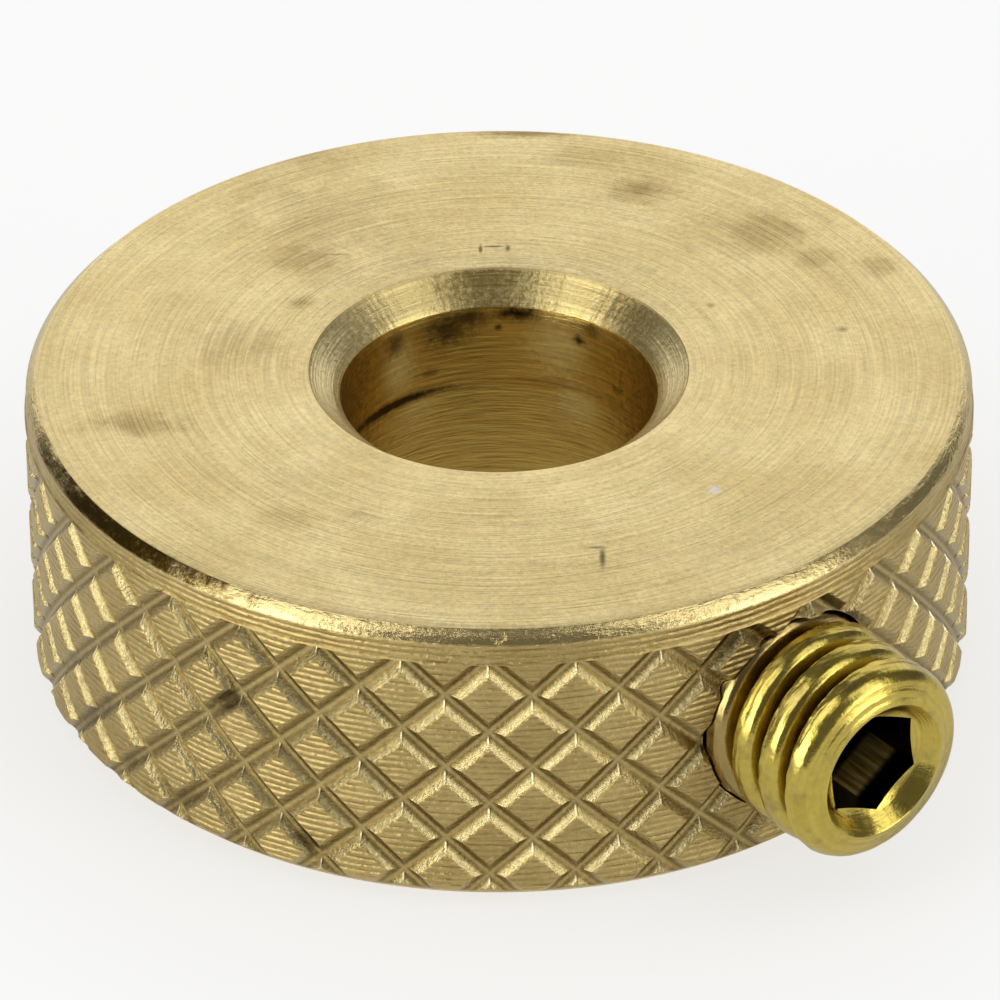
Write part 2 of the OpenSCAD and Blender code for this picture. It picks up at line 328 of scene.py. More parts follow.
    # Laid over the tone: the chamfer's tone, the ridge's painted highlight and painted shadow, the darkened groove
    # spots with painted shade beside the hole, and the chamfer's stain with its painted dark reflection
    tone = layered(tree, tone, (chamfer, "#D9C489"), (ridge_highlight, "#FFF3C8"), (shade, "#5E4A20"),
                   (groove_spots_and_hole_shade, "#54421F"), (stain, "#5F4A1D"))
    spread = add(tree, "Math", (land, below_chamfer), "MULTIPLY")
    rough = add(tree, "MapRange", (spread, 0.0, 1.0, 0.24, 0.36))
    spread = add(tree, "Math", (spread, 0.7), "MULTIPLY")
    lie = add(tree, "Tangent", direction_type="RADIAL", axis="Z")
    sandiness = add(tree, "MapRange", (chamfer, 0.0, 1.0, 0.4, 0.12))
    relief = add(tree, "Math", (sand, sandiness), "MULTIPLY")
    waves = add(tree, "Math", (waves, 0.5), "MULTIPLY")
    relief = add(tree, "Math", (relief, waves), "ADD")
    uneven = add(tree, "MapRange", (patch, 0.35, 0.6, 0.45, 0.95))
    wave = add(tree, "Math", (wave, uneven), "MULTIPLY")
    wave = add(tree, "Math", (wave, below_chamfer), "MULTIPLY")
    relief = add(tree, "Math", (relief, wave), "SUBTRACT")
    finish_metal(tree, {"Base Color": tone, "Roughness": rough, "Anisotropic": spread,
                        "Anisotropic Rotation": 0.25, "Tangent": lie}, relief, 0.016)
    return made


# Free-machining brass, countersunk: rings and chatter from the tool, stains where hands reach it, and painted light
# on its left and right sides
def countersunk_brass():
    made, tree = new_material("countersunk_brass")
    place, seen, radius, around, height = turned_coordinates(tree)
    rings = tool_lines(tree, around, 1.6, radius, 24.0, 2.0, 0.5)
    chatter = add(tree, "TexNoise", {"Vector": around, "Scale": 18.0, "Detail": 2.0})
    grain = add(tree, "TexNoise", {"Vector": place, "Scale": 9.0, "Detail": 4.0, "Roughness": 0.7})
    torn = add(tree, "MapRange", (grain, 0.3, 0.7, -0.7, 0.7))
    worn = marks(tree, seen, torn, [
        ((-0.4, 3.6, 6.1), (1.2, 0.7, 0.6), 0.8), ((2.9, 2.3, 6.15), (0.9, 1.5, 0.5), 0.75),
        ((-3.3, 0.9, 6.1), (0.25, 0.5, 0.5), 0.6), ((-3.2, -0.6, 6.1), (0.5, 1.6, 0.5), 0.3)])
    # Painted light: the left and right sides of the countersink are painted lighter
    painted_light = marks(tree, seen, torn, [((-3.6, -0.6, 6.1), (1.7, 3.2, 0.9), 1.0),
                                      ((3.7, -0.8, 6.1), (1.3, 3.0, 0.9), 0.9)])
    tone = layered(tree, "#DCCA90", (chatter, "#BFA96A"), (worn, "#8A7440"), (painted_light, "#F7E6B0"))
    lines = add(tree, "MapRange", (rings, 0.3, 0.7, 0.8, 1.1))
    tone = add(tree, "VectorMath", {0: tone, "Scale": lines}, "SCALE")
    # The edge at the top face is torn, so the face's tone runs into it here and there
    upper = add(tree, "Math", (torn, 0.03), "MULTIPLY")
    upper = add(tree, "Math", (height, upper), "ADD")
    upper = add(tree, "MapRange", (upper, COLLAR_H - 0.05, COLLAR_H - 0.035, 0.0, 1.0))
    tone = layered(tree, tone, (upper, "#C7B27A"))
    relief = add(tree, "Math", (rings, chatter), "ADD")
    relief = add(tree, "Math", (relief, grain), "ADD")
    rough = add(tree, "MapRange", (upper, 0.0, 1.0, 0.36, 0.5))
    finish_metal(tree, {"Base Color": tone, "Roughness": rough}, relief, 0.012)
    return made


# Free-machining brass, bored from both sides. Feed lines run round the bore, the step where the two cuts meet is
# painted darker, oily blobs lie near the mouth, and patches where light from above reaches the wall are painted
# lighter as painted light.
def bored_brass():
    made, tree = new_material("bored_brass")
    place, seen, _, around, height = turned_coordinates(tree)
    lines = tool_lines(tree, around, 3.0, height, 13.0, 3.0, 0.6)
    grain = add(tree, "TexNoise", {"Vector": place, "Scale": 7.0, "Detail": 4.0, "Roughness": 0.7})
    torn = add(tree, "MapRange", (grain, 0.25, 0.75, -0.45, 0.45))
    lower = add(tree, "MapRange", (height, 3.85, 4.0, 1.0, 0.0))
    blobs = marks(tree, seen, torn, [
        ((-1.05, 3.0, 5.35), (0.6, 0.8, 0.5), 0.8), ((-0.65, 3.1, 5.55), (0.55, 0.6, 0.3), 0.75),
        ((0.4, 3.15, 5.65), (0.6, 0.6, 0.2), 1.0), ((0.0, 3.18, 5.3), (0.1, 0.4, 0.1), 0.8),
        ((1.65, 2.75, 5.25), (0.17, 0.3, 0.14), 0.9), ((1.9, 2.6, 5.6), (0.25, 0.4, 0.2), 0.6),
        ((-2.1, 2.4, 5.4), (0.25, 0.3, 0.35), 0.7), ((2.4, 2.1, 4.45), (0.2, 0.2, 0.1), 0.5),
        ((-1.4, 2.85, 4.4), (0.2, 0.3, 0.14), 0.5)])
    faint = add(tree, "Math", (torn, 0.4), "MULTIPLY")
    step = marks(tree, seen, faint, [
        ((-2.2, 2.2, 3.95), (1.7, 1.9, 0.15), 1.2), ((1.0, 3.0, 4.05), (2.2, 1.0, 0.05), 0.45)])
    # Painted light: patches where light from above reaches the wall are painted lighter
    lit_patches = marks(tree, seen, torn, [
        ((-2.05, 2.45, 4.75), (0.45, 0.6, 0.75), 0.9), ((1.2, 2.95, 5.0), (0.75, 0.6, 0.85), 0.75),
        ((1.6, 2.75, 3.7), (0.6, 0.5, 0.6), 0.6), ((-1.7, 2.7, 3.6), (0.6, 0.6, 0.5), 0.35)])
    # The bore is painted darker on its left and right sides
    darker_sides = marks(tree, seen, torn, [((-3.3, 0.0, 4.2), (1.5, 3.0, 3.0), 0.75),
                                       ((3.3, 0.0, 4.2), (1.6, 3.0, 3.0), 0.8)])
    tone = layered(tree, "#E2C064", (lower, "#E4C56C"), (lit_patches, "#FFF0A8"))
    bands = add(tree, "MapRange", (lines, 0.3, 0.7, 0.72, 1.12))
    tone = add(tree, "VectorMath", {0: tone, "Scale": bands}, "SCALE")
    tone = layered(tree, tone, (darker_sides, "#6E4E1E"), (step, "#4A3A18"), (blobs, "#362A14"))
    depth = add(tree, "MapRange", (lower, 0.0, 1.0, 0.5, 1.0))
    relief = add(tree, "Math", (lines, depth), "MULTIPLY")
    worn = add(tree, "Math", (lit_patches, grain), "MULTIPLY")
    relief = add(tree, "Math", (relief, worn), "ADD")
    rough = add(tree, "MapRange", (lit_patches, 0.0, 1.0, 0.38, 0.5))
    finish_metal(tree, {"Base Color": tone, "Roughness": rough}, relief, 0.03)
    return made


# Tapped brass in the wall of the screw's hole: dark with oil and swarf, and darker still as painted shade inside
# the hole
def tapped_brass():
    made, tree = new_material("tapped_brass")
    place = place_in_mm(tree)
    grain = add(tree, "TexNoise", {"Vector": place, "Scale": 5.0, "Detail": 3.0})
    tone = layered(tree, "#6A5128", (grain, "#2E220F"))
    finish_metal(tree, {"Base Color": tone, "Roughness": 0.45}, grain, 0.01)
    return made


# Free-machining brass, screw-cut and left bright: smoother and yellower than the collar. Scratches run along
# the thread, the roots are dark with oil and painted shade, and the part next to the hole's edge is painted duller
# as painted shade.
def screw_brass():
    made, tree = new_material("screw_cut_brass")
    place = place_in_mm(tree)
    crest = add(tree, "Attribute", out="Fac", attribute_name="crest")
    turn = add(tree, "Attribute", out="Fac", attribute_name="turn")
    level = add(tree, "Attribute", out="Fac", attribute_name="along")
    level = add(tree, "Math", (level, 1 / MM), "MULTIPLY")
    grain = add(tree, "TexNoise", {"Vector": place, "Scale": 6.0, "Detail": 5.0, "Roughness": 0.68})
    patch = add(tree, "TexNoise", {"Vector": place, "Scale": 1.6, "Detail": 4.0, "Roughness": 0.6})
    off_axis = add(tree, "VectorMath", (place, (0, 0, SCREW_Z)), "SUBTRACT")
    off_axis = add(tree, "VectorMath", (off_axis, (1, 0, 1)), "MULTIPLY")
    away = add(tree, "VectorMath", (off_axis,), "LENGTH", "Value")
    off_axis = add(tree, "VectorMath", (off_axis,), "NORMALIZE")
    outward = add(tree, "Math", (away, level), "ADD")
    lines = tool_lines(tree, off_axis, 1.2, outward, 16.0, 3.0, 0.6)
    dull = add(tree, "MapRange", (patch, 0.52, 0.66, 0.0, 0.7))
    oil_and_root_shade = add(tree, "MapRange", (patch, 0.35, 0.65, 1.0, 0.55))
    # The roots are painted dark: partly oil, partly painted shade
    root = add(tree, "MapRange", (crest, 0.1, 0.8, 1.0, 0.0), interpolation_type="SMOOTHSTEP")
    short_of_face = add(tree, "MapRange", (level, SCREW_LENGTH - 0.62, SCREW_LENGTH - 0.5, 1.0, 0.0))
    root = add(tree, "Math", (root, short_of_face), "MULTIPLY")
    oil_and_root_shade = add(tree, "Math", (oil_and_root_shade, root), "MULTIPLY")
    # Painted shade: the part next to the hole's edge, between the screw and the collar, is painted a duller, darker
    # tone
    shaded_neck = add(tree, "MapRange", (turn, 4.9, 5.1, 1.0, 0.0))
    tone = layered(tree, "#D8C466", (grain, "#BCA549"), (dull, "#A39256"), (oil_and_root_shade, "#4E380C"),
                   (shaded_neck, "#A8935C"))
    bands = add(tree, "MapRange", (lines, 0.3, 0.7, 0.86, 1.08))
    tone = add(tree, "VectorMath", {0: tone, "Scale": bands}, "SCALE")
    rough = add(tree, "MapRange", (grain, 0.3, 0.7, 0.13, 0.24))
    relief = add(tree, "Math", (grain, lines), "ADD")
    finish_metal(tree, {"Base Color": tone, "Roughness": rough}, relief, 0.009)
    return made


# Free-machining brass inside the key socket: broached along its length, and painted dark as painted shade in the
# socket. One wall is painted lighter some way in, as a painted reflection of light that comes in through the mouth.
def socket_brass():
    made, tree = new_material("broached_brass")
    place = place_in_mm(tree)
    strokes = add(tree, "VectorMath", (place, (9.0, 0.8, 9.0)), "MULTIPLY")
    strokes = add(tree, "TexNoise", {"Vector": strokes, "Scale": 1.0, "Detail": 3.0})
    # Painted reflection: the wall that faces the mouth is painted lighter between two depths
    off_axis = add(tree, "VectorMath", (place, (0, 0, SCREW_Z)), "SUBTRACT")
    towards_wall = (0.582, 0.0, -0.813)
    lit_wall = add(tree, "VectorMath", (off_axis, towards_wall), "DOT_PRODUCT", "Value")
    lit_wall = add(tree, "MapRange", (lit_wall, SOCKET_AF / 2 - 0.03, SOCKET_AF / 2 - 0.015, 0.0, 1.0))
    level = add(tree, "Attribute", out="Fac", attribute_name="along")
    level = add(tree, "Math", (level, 1 / MM), "MULTIPLY")
    far_end = add(tree, "MapRange", (level, SCREW_LENGTH - 1.8, SCREW_LENGTH - 1.65, 0.0, 1.0))
    near_end = add(tree, "MapRange", (level, SCREW_LENGTH - 1.0, SCREW_LENGTH - 0.85, 1.0, 0.0))
    lit_wall = add(tree, "Math", (lit_wall, far_end), "MULTIPLY")
    lit_wall = add(tree, "Math", (lit_wall, near_end), "MULTIPLY")
    streaked = add(tree, "MapRange", (strokes, 0.35, 0.65, 0.0, 1.0))
    painted_light = layered(tree, "#FFEFA0", (streaked, "#B58E34"))
    # Painted shade: a dark tone for the socket, with the painted reflection on one wall laid over it
    tone = layered(tree, "#3A2E12", (strokes, "#1C160A"), (lit_wall, painted_light))
    rough = add(tree, "MapRange", (lit_wall, 0.0, 1.0, 0.35, 0.75))
    finish_metal(tree, {"Base Color": tone, "Roughness": rough}, strokes, 0.012)
    return made


FACED = faced_brass()
KNURLED = knurled_brass()
COUNTERSUNK = countersunk_brass()
BORED = bored_brass()
TAPPED = tapped_brass()
SCREW_CUT = screw_brass()
BROACHED = socket_brass()


# ---------------------------------------------------------------- meshes

def stretch(start, end, count):
    """Evenly spaced points from start up to, but not including, end."""
    return [tuple(a + (b - a) * i / count for a, b in zip(start, end)) for i in range(count)]


def outline_object(name, points):
    """An object whose mesh is only the points of an outline: radius along X, a mark along Y, level along Z."""
    mesh = bpy.data.meshes.new(name)
    mesh.from_pydata([(r * MM, mark, level * MM) for r, mark, level in points], [], [])
    made = bpy.data.objects.new(name, mesh)
    bpy.context.collection.objects.link(made)
    return made


def new_tree(name, sockets):
    """A Geometry Nodes tree with a geometry input and output and the named inputs of each kind."""
    tree = bpy.data.node_groups.new(name, "GeometryNodeTree")
    tree.interface.new_socket("Geometry", in_out="INPUT", socket_type="NodeSocketGeometry")
    tree.interface.new_socket("Geometry", in_out="OUTPUT", socket_type="NodeSocketGeometry")
    for kind, names in sockets.items():
        for socket_name in names:
            tree.interface.new_socket(socket_name, in_out="INPUT", socket_type="NodeSocket" + kind)
    return tree, tree.nodes.new("NodeGroupInput").outputs


def grown(made, tree, values):
    """Runs the tree on an object with the given input values and keeps the result as a plain mesh."""
    modifier = made.modifiers.new(tree.name, "NODES")
    modifier.node_group = tree
    for item in tree.interface.items_tree:
        if item.in_out == "INPUT" and item.name in values:
            modifier[item.identifier] = values[item.name]
    graph = bpy.context.evaluated_depsgraph_get()
    mesh = bpy.data.meshes.new_from_object(made.evaluated_get(graph), depsgraph=graph)
    made.modifiers.remove(modifier)
    mesh.name = made.name
    made.data = mesh
    return made


def outline_sheet(tree, given, rows):
    """A sheet with one row for each outline point and one column for each step round the axis.

    Also gives each sheet point's column, its share of a turn, that as an angle, and its outline point's X, Y and Z.
    """
    columns = add(tree, "Math", (given["Columns"], 1.0), "ADD")
    sheet = add(tree, "GeometryNodeMeshGrid", (1.0, 1.0, columns, rows))
    index = add(tree, "GeometryNodeInputIndex")
    point = add(tree, "Math", (index, rows), "MODULO")
    point = add(tree, "Math", (point, given["Outline Points"]), "MODULO")
    column = add(tree, "Math", (index, rows), "DIVIDE")
    column = add(tree, "Math", (column,), "FLOOR")
    place = add(tree, "GeometryNodeInputPosition")
    outline = add(tree, "GeometryNodeSampleIndex", {"Geometry": given["Geometry"], "Value": place, "Index": point},
                  data_type="FLOAT_VECTOR")
    turns = add(tree, "Math", (column, given["Columns"]), "DIVIDE")
    angle = add(tree, "Math", (turns, 2 * math.pi), "MULTIPLY")
    return sheet, column, turns, angle, [add(tree, "SeparateXYZ", (outline,), out=axis) for axis in "XYZ"]


def bend(mapping, points, handles):
    """Takes a node's curve through some points, from the first to the last."""
    curve = mapping.curves[0]
    curve.points[0].location, curve.points[1].location = points[0], points[-1]
    for x, y in points[1:-1]:
        curve.points.new(x, y)
    for point in curve.points:
        point.handle_type = handles
    mapping.update()


def wrapped(tree, sheet, place, measures):
    """Stores measures on a sheet, moves its points into place and joins its seams."""
    for name, value in measures.items():
        sheet = add(tree, "GeometryNodeStoreNamedAttribute", {"Geometry": sheet, "Name": name, "Value": value})
    sheet = add(tree, "GeometryNodeSetPosition", {"Geometry": sheet, "Position": place})
    return add(tree, "GeometryNodeMergeByDistance", {"Geometry": sheet, "Distance": SEAM * MM})


def smoothed(tree, mesh, sharp_from):
    """Shades a mesh smooth, apart from edges that turn by more than some degrees."""
    turn = add(tree, "GeometryNodeInputMeshEdgeAngle")
    smooth = add(tree, "FunctionNodeCompare", (turn, math.radians(sharp_from)), "LESS_THAN")
    for domain, shade in (("FACE", True), ("EDGE", smooth)):
        mesh = add(tree, "GeometryNodeSetShadeSmooth", {"Geometry": mesh, "Shade Smooth": shade}, domain=domain)
    return mesh


def end_tree(tree, mesh, finishes):
    """Ends a tree with its materials, set in turn, each on the faces that its selection picks out."""
    for where, finish in finishes:
        mesh = add(tree, "GeometryNodeSetMaterial", {"Geometry": mesh, "Selection": where, "Material": finish})
    add(tree, "NodeGroupOutput", (mesh,))
    return tree


def knurl_tree():
    """Turns an outline round +Z, rolls the knurl into the rim and drills the screw's hole."""
    tree, given = new_tree("turned_and_knurled", {
        "Int": ("Outline Points", "Columns", "Steps"),
        "Float": ("Knurl Turn", "Knurl Top", "Knurl End", "Row Step", "Land Radius", "Groove Share", "Groove Depth",
                  "Run-out", "Hole Radius", "Hole Height", "Bore Radius", "Countersink Radius", "Bore Top",
                  "Top Height", "Face Radius"),
        "Object": ("Tap",),
        "Material": ("Rim Finish", "Face Finish", "Countersink Finish", "Bore Finish", "Hole Finish")})
    # One row more than the outline has points, so that the last meets the first
    rows = add(tree, "Math", (given["Outline Points"], 1.0), "ADD")
    sheet, column, _, angle, (radius, _, height) = outline_sheet(tree, given, rows)

    # Counted in crossings: columns round the rim, and rows down from the top of the knurl
    across = add(tree, "Math", (column, given["Steps"]), "DIVIDE")
    down = add(tree, "Math", (given["Knurl Top"], height), "SUBTRACT")
    down = add(tree, "Math", (down, given["Row Step"]), "DIVIDE")
    rising = add(tree, "Math", (across, down), "ADD")
    rising = add(tree, "Math", (rising, 1.0), "PINGPONG")
    falling = add(tree, "Math", (across, down), "SUBTRACT")
    falling = add(tree, "Math", (falling, 1.0), "PINGPONG")
    nearest = add(tree, "Math", (rising, falling), "MINIMUM")
    way_up = add(tree, "Math", (nearest, given["Groove Share"]), "DIVIDE", use_clamp=True)
    cut = add(tree, "FloatCurve", {"Value": way_up})
    bend(cut.node.mapping, [(0.0, 1.0), (0.28, 0.92), (0.6, 0.6), (0.86, 0.2), (1.0, 0.0)], "AUTO")
    run_out = add(tree, "Math", (given["Knurl End"], given["Run-out"]), "ADD")
    ending = add(tree, "MapRange", (height, given["Knurl End"], run_out, 1.0, 0.0), interpolation_type="SMOOTHSTEP")
    cut = add(tree, "Math", (cut, ending), "MULTIPLY")
    depth = add(tree, "Math", (cut, given["Groove Depth"]), "MULTIPLY")
    floor = add(tree, "Math", (given["Land Radius"], depth), "SUBTRACT")
    radius = add(tree, "Math", (radius, floor), "MINIMUM")

    angle = add(tree, "Math", (angle, given["Knurl Turn"]), "ADD")
    cosine = add(tree, "Math", (angle,), "COSINE")
    sine = add(tree, "Math", (angle,), "SINE")
    x = add(tree, "Math", (radius, cosine), "MULTIPLY")
    y = add(tree, "Math", (radius, sine), "MULTIPLY")
    turned = add(tree, "CombineXYZ", (x, y, height))
    lean = add(tree, "Math", (rising, falling), "SUBTRACT")
    sheet = wrapped(tree, sheet, turned, {"groove": cut, "lean": lean})
    # Each square is split along the groove nearest to it, so that floors and ridges stay straight
    leaning = add(tree, "GeometryNodeInputNamedAttribute", {"Name": "lean"})
    along_rising = add(tree, "FunctionNodeCompare", (leaning, 0.0), "LESS_THAN")
    sheet = add(tree, "GeometryNodeTriangulate", {"Mesh": sheet, "Selection": along_rising}, quad_method="FIXED")
    sheet = add(tree, "GeometryNodeTriangulate", {"Mesh": sheet}, quad_method="FIXED_ALTERNATE")
    tap = add(tree, "GeometryNodeObjectInfo", {"Object": given["Tap"]}, out="Geometry")
    ring = add(tree, "GeometryNodeMeshBoolean", {"Mesh 1": sheet, "Mesh 2": tap}, "DIFFERENCE", solver="MANIFOLD")
    ring = smoothed(tree, ring, 32)

    place = add(tree, "GeometryNodeInputPosition")
    flat = add(tree, "VectorMath", (place, (1, 1, 0)), "MULTIPLY")
    away = add(tree, "VectorMath", (flat,), "LENGTH", "Value")
    level = add(tree, "SeparateXYZ", (place,), out="Z")
    in_face = add(tree, "FunctionNodeCompare", (away, given["Face Radius"]), "LESS_THAN")
    in_sink = add(tree, "FunctionNodeCompare", (away, given["Countersink Radius"]), "LESS_THAN")
    below = add(tree, "FunctionNodeCompare", (level, given["Top Height"]), "LESS_THAN")
    above = add(tree, "FunctionNodeCompare", (level, given["Bore Top"]), "GREATER_THAN")
    sink = add(tree, "FunctionNodeBooleanMath", (in_sink, below), "AND")
    sink = add(tree, "FunctionNodeBooleanMath", (sink, above), "AND")
    wall = add(tree, "FunctionNodeBooleanMath", (above,), "NOT")
    in_bore = add(tree, "FunctionNodeCompare", (away, given["Bore Radius"]), "LESS_THAN")
    wall = add(tree, "FunctionNodeBooleanMath", (in_bore, wall), "AND")
    middle = add(tree, "CombineXYZ", (0.0, 0.0, given["Hole Height"]))
    off_axis = add(tree, "VectorMath", (place, middle), "SUBTRACT")
    off_axis = add(tree, "VectorMath", (off_axis, (1, 0, 1)), "MULTIPLY")
    off_axis = add(tree, "VectorMath", (off_axis,), "LENGTH", "Value")
    in_hole = add(tree, "FunctionNodeCompare", (off_axis, given["Hole Radius"]), "LESS_THAN")
    clear_of_bore = add(tree, "Math", (given["Bore Radius"], 0.01 * MM), "ADD")
    past_bore = add(tree, "FunctionNodeCompare", (away, clear_of_bore), "GREATER_THAN")
    rim_floor = add(tree, "Math", (given["Land Radius"], given["Groove Depth"]), "SUBTRACT")
    inside_rim = add(tree, "FunctionNodeCompare", (away, rim_floor), "LESS_THAN")
    in_hole = add(tree, "FunctionNodeBooleanMath", (in_hole, past_bore), "AND")
    in_hole = add(tree, "FunctionNodeBooleanMath", (in_hole, inside_rim), "AND")
    return end_tree(tree, ring, [
        (None, given["Rim Finish"]), (in_face, given["Face Finish"]), (sink, given["Countersink Finish"]),
        (wall, given["Bore Finish"]), (in_hole, given["Hole Finish"])])


def thread_tree(name, profile):
    """Winds a right-hand thread round an outline and gives its inner rows a hexagon's section.

    The outline's X is the radius, its Z the distance from the cup point, and its Y is 1 on hexagon rows.
    The profile is (share of the pitch, share of the thread's depth) from one root to the next.
    """
    tree, given = new_tree(name, {
        "Int": ("Outline Points", "Columns"),
        "Float": ("Pitch", "Thread Turn", "Crest Radius", "Thread Depth", "Socket Turn", "Mouth Radius",
                  "Mouth Level", "Mouth Slope", "Burr", "Last Thread", "Face Level", "Axis Height", "Cup Point"),
        "Material": ("Thread Finish", "Socket Finish")})
    sheet, _, turns, angle, (radius, hexagon, level) = outline_sheet(tree, given, given["Outline Points"])
    angle = add(tree, "Math", (angle, given["Socket Turn"]), "ADD")

    # Thread: how far along its pitch a point lies, from root through crest to root
    behind = add(tree, "Math", (angle, given["Thread Turn"]), "SUBTRACT")
    behind = add(tree, "Math", (behind, 2 * math.pi), "DIVIDE")
    along = add(tree, "Math", (level, given["Pitch"]), "DIVIDE")
    along = add(tree, "Math", (along, behind), "SUBTRACT")
    share = add(tree, "Math", (along,), "FRACT")
    crest = add(tree, "FloatCurve", {"Value": share})
    bend(crest.node.mapping, profile, "VECTOR")
    fall = add(tree, "Math", (1.0, crest), "SUBTRACT")
    fall = add(tree, "Math", (fall, given["Thread Depth"]), "MULTIPLY")
    # The thread runs out after its last crest, and before it reaches the face
    past_last = add(tree, "Math", (along, given["Last Thread"]), "SUBTRACT")
    running_out = add(tree, "MapRange", (past_last, *RUN_OUT, 1.0, 0.0), interpolation_type="SMOOTHSTEP")
    fall = add(tree, "Math", (fall, running_out), "MULTIPLY")
    # Counting starts again at the sheet's seam, so the groove that would stop there fades out ahead of it
    fading = add(tree, "MapRange", (past_last, *FADING, 0.0, 1.0), interpolation_type="SMOOTHSTEP")
    to_seam = add(tree, "MapRange", (turns, *AHEAD_OF_SEAM, 0.0, 1.0), interpolation_type="SMOOTHSTEP")
    fading = add(tree, "Math", (fading, to_seam), "MULTIPLY")
    fading = add(tree, "Math", (1.0, fading), "SUBTRACT")
    fall = add(tree, "Math", (fall, fading), "MULTIPLY")
    near = add(tree, "Math", (given["Face Level"], level), "SUBTRACT")
    near = add(tree, "MapRange", (near, 0.1 * MM, 0.3 * MM, 0.0, 1.0), interpolation_type="SMOOTHSTEP")
    fall = add(tree, "Math", (fall, near), "MULTIPLY")
    thread = add(tree, "Math", (given["Crest Radius"], fall), "SUBTRACT")
    outside = add(tree, "Math", (radius, thread), "MINIMUM")

    # Hexagon: distance from the axis to its wall
    sector = add(tree, "Math", (turns, 6.0), "MULTIPLY")
    sector = add(tree, "Math", (sector,), "FRACT")
    sector = add(tree, "Math", (sector, 0.5), "SUBTRACT")
    sector = add(tree, "Math", (sector, math.pi / 3), "MULTIPLY")
    sector = add(tree, "Math", (sector,), "COSINE")
    wall = add(tree, "Math", (radius, sector), "DIVIDE")
    mouth = add(tree, "Math", (given["Mouth Radius"], wall), "SUBTRACT")
    mouth = add(tree, "Math", (mouth, given["Mouth Slope"]), "MULTIPLY")
    mouth = add(tree, "Math", (given["Mouth Level"], mouth), "SUBTRACT")
    wall_level = add(tree, "Math", (level, mouth), "MINIMUM")
    radius = add(tree, "Mix", {"Factor": hexagon, "A": outside, "B": wall})
    level = add(tree, "Mix", {"Factor": hexagon, "A": level, "B": wall_level})

    # Burrs and tool marks on the crests
    cosine = add(tree, "Math", (angle,), "COSINE")
    sine = add(tree, "Math", (angle,), "SINE")
    around = add(tree, "CombineXYZ", (cosine, sine, 0.0))
    far = add(tree, "Math", (level, 1 / MM), "MULTIPLY")
    torn = add(tree, "TexNoise", {"Vector": around, "W": far, "Scale": 7.0, "Detail": 3.0}, noise_dimensions="4D")
    torn = add(tree, "MapRange", (torn, 0.35, 0.7, 0.0, 1.0))
    at_crest = add(tree, "MapRange", (crest, 0.8, 1.0, 0.0, 1.0))
    not_wall = add(tree, "Math", (1.0, hexagon), "SUBTRACT")
    for share in (at_crest, given["Burr"], not_wall):
        torn = add(tree, "Math", (torn, share), "MULTIPLY")
    radius = add(tree, "Math", (radius, torn), "SUBTRACT")
    radius = add(tree, "Math", (radius, 0.0), "MAXIMUM")

    x = add(tree, "Math", (radius, cosine), "MULTIPLY")
    z = add(tree, "Math", (radius, sine), "MULTIPLY")
    z = add(tree, "Math", (z, given["Axis Height"]), "ADD")
    y = add(tree, "Math", (given["Cup Point"], level), "ADD")
    y = add(tree, "Math", (y, -1.0), "MULTIPLY")
    wound = add(tree, "CombineXYZ", (x, y, z))
    screw = wrapped(tree, sheet, wound, {"socket": hexagon, "crest": crest, "along": level, "turn": along})
    screw = smoothed(tree, screw, 38)
    inside = add(tree, "GeometryNodeInputNamedAttribute", {"Name": "socket"})
    inside = add(tree, "FunctionNodeCompare", (inside, 0.99), "GREATER_THAN")
    return end_tree(tree, screw, [(None, given["Thread Finish"]), (inside, given["Socket Finish"])])


def threaded(name, tree, outline, columns, crest_r, burr, last_thread, face_level):
    """An object wound by a thread tree from an outline of (radius, 1 on hexagon rows, level)."""
    return grown(outline_object(name, outline), tree, {
        "Outline Points": len(outline), "Columns": columns, "Pitch": PITCH * MM,
        "Thread Turn": math.radians(THREAD_TURN), "Crest Radius": crest_r * MM,
        "Thread Depth": THREAD_DEPTH * MM, "Socket Turn": SOCKET_TURN, "Mouth Radius": CORNER_R * MM,
        "Mouth Level": (FACE_LEVEL - (MOUTH_R - CORNER_R) * MOUTH_SLOPE) * MM, "Mouth Slope": 0.35,
        "Burr": burr * MM, "Last Thread": last_thread, "Face Level": face_level * MM,
        "Thread Finish": SCREW_CUT, "Socket Finish": BROACHED,
        "Axis Height": SCREW_Z * MM, "Cup Point": (SCREW_REACH - SCREW_LENGTH) * MM})


def make_tap():
    """The cutter of the tapped hole: the screw's thread, wider on the side that the screw slides in from.

    The last 0.8 mm of the hole has no thread, so that the screw's plain end can slide into it.
    """
    profile = [(0.0, 0.95), (0.02, 1.0), (0.475, 1.0), (0.59, 0.985), (0.74, 0.95), (0.88, 0.87), (0.952, 0.77),
               (0.98, 0.87), (1.0, 0.95)]
    inner_end, outer_end, row_step = -3.6, 5.0, 0.08
    past_crests = 3.0
    level = inner_end
    outline = [(0.0, 0, level), (past_crests, 0, level)]
    while level < outer_end:
        level += row_step
        outline.append((past_crests, 0, level))
    outline.append((0.0, 0, level))
    return threaded("tap", thread_tree("tap_thread", profile), outline, TAP_COLUMNS, SCREW_R + TAP_PLAY, 0.0,
                    NO_END, TAP_END)


